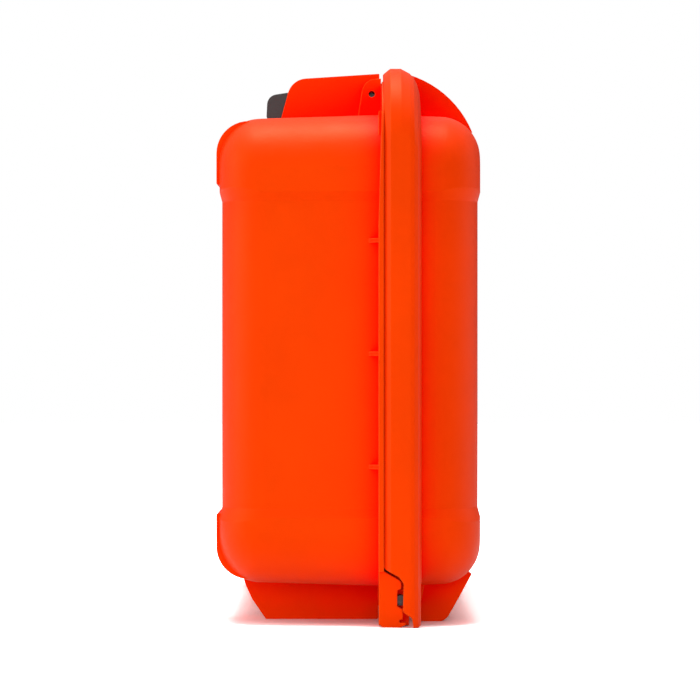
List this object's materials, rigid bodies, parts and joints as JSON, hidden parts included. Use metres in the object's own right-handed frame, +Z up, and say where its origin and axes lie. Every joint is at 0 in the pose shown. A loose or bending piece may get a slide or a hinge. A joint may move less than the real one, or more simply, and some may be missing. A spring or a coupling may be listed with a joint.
{
  "type": "hard case first aid kit",
  "caption": "Hinged waterproof hard case for first aid supplies, with latches, carry handle, seal and foam tray of dressings and tools.",
  "frame": {"origin": "on the floor under the middle of the closed case as it stands on its hinge side", "axes": "+X from the base's bottom to the lid's face, +Y along the case's length, +Z up from the hinge side to the handle side"},
  "size_m": [0.1098, 0.32, 0.2314],
  "materials": {
    "orange_plastic": "satin",
    "black_plastic": "satin",
    "grip_rubber": "matte",
    "seal_rubber": "matte",
    "pin_steel": "satin",
    "blade_steel": "satin",
    "valve_membrane_cloth": "matte",
    "green_label": "satin",
    "white_label": "satin",
    "tray_foam": "matte",
    "lid_foam": "matte",
    "bandage_cloth": "matte",
    "pack_paper": "matte",
    "tape_cloth": "matte",
    "tape_core_card": "matte",
    "foil": "gloss",
    "pod_plastic": "gloss"
  },
  "bodies": {
    "base": {"base_shell": "orange_plastic", "hinge_pins": "pin_steel", "latch_pivot_pins": "pin_steel", "handle_pins": "pin_steel", "valve_body": "black_plastic", "valve_nut": "black_plastic", "valve_membrane": "valve_membrane_cloth", "valve_cap": "black_plastic", "foam_tray": "tray_foam", "bandage_rolls": "bandage_cloth", "gauze_packs": "pack_paper", "triangular_bandage_pack": "pack_paper", "foil_blanket_pack": "foil", "tape_roll": "tape_cloth", "tape_core": "tape_core_card", "saline_pods": "pod_plastic", "tweezers": "blade_steel", "scissors_fixed_blade": "blade_steel", "scissors_rivet": "blade_steel"},
    "lid": {"lid_shell": "orange_plastic", "lid_seal": "seal_rubber", "lid_foam": "lid_foam", "emblem_plate": "green_label", "emblem_cross": "white_label"},
    "latch_lever_left": {"latch_lever_left": "black_plastic", "latch_claw_pin_left": "pin_steel"},
    "latch_claw_left": {"latch_claw_left": "black_plastic"},
    "latch_slider_left": {"latch_slider_left": "orange_plastic"},
    "latch_lever_right": {"latch_lever_right": "black_plastic", "latch_claw_pin_right": "pin_steel"},
    "latch_claw_right": {"latch_claw_right": "black_plastic"},
    "latch_slider_right": {"latch_slider_right": "orange_plastic"},
    "handle": {"handle_bow": "black_plastic", "handle_grip": "grip_rubber"},
    "scissors_arm": {"scissors_moving_blade": "blade_steel"}
  },
  "joints": [
    {"name": "lid_hinge", "type": "hinge", "parent": "base", "child": "lid", "pos_m": [0.0216, 0, 0.0108], "axis": [0, 1, 0], "range_deg": [0, 95]},
    {"name": "latch_lever_left_pivot", "type": "hinge", "parent": "base", "child": "latch_lever_left", "pos_m": [0.0099, -0.078, 0.2221], "axis": [0, 1, 0], "range_deg": [0, 100]},
    {"name": "latch_claw_left_pivot", "type": "hinge", "parent": "latch_lever_left", "child": "latch_claw_left", "pos_m": [-0.0002, -0.078, 0.2195], "axis": [0, 1, 0], "range_deg": [-100, 0]},
    {"name": "latch_slider_left_slide", "type": "slide", "parent": "latch_lever_left", "child": "latch_slider_left", "axis": [1, 0, 0], "range_m": [0, 0.004]},
    {"name": "latch_lever_right_pivot", "type": "hinge", "parent": "base", "child": "latch_lever_right", "pos_m": [0.0099, 0.078, 0.2221], "axis": [0, 1, 0], "range_deg": [0, 100]},
    {"name": "latch_claw_right_pivot", "type": "hinge", "parent": "latch_lever_right", "child": "latch_claw_right", "pos_m": [-0.0002, 0.078, 0.2195], "axis": [0, 1, 0], "range_deg": [-100, 0]},
    {"name": "latch_slider_right_slide", "type": "slide", "parent": "latch_lever_right", "child": "latch_slider_right", "axis": [1, 0, 0], "range_m": [0, 0.004]},
    {"name": "handle_pivot", "type": "hinge", "parent": "base", "child": "handle", "pos_m": [0.0048, 0, 0.2185], "axis": [0, 1, 0], "range_deg": [0, 100]},
    {"name": "scissors_pivot", "type": "hinge", "parent": "base", "child": "scissors_arm", "pos_m": [-0.0037, -0.1105, 0.112], "axis": [-1, 0, 0], "range_deg": [0, 25]}
  ],
  "couplings": [
    {"joint": "latch_claw_left_pivot", "follows": "latch_lever_left_pivot", "ratio": -1},
    {"joint": "latch_claw_right_pivot", "follows": "latch_lever_right_pivot", "ratio": -1}
  ]
}
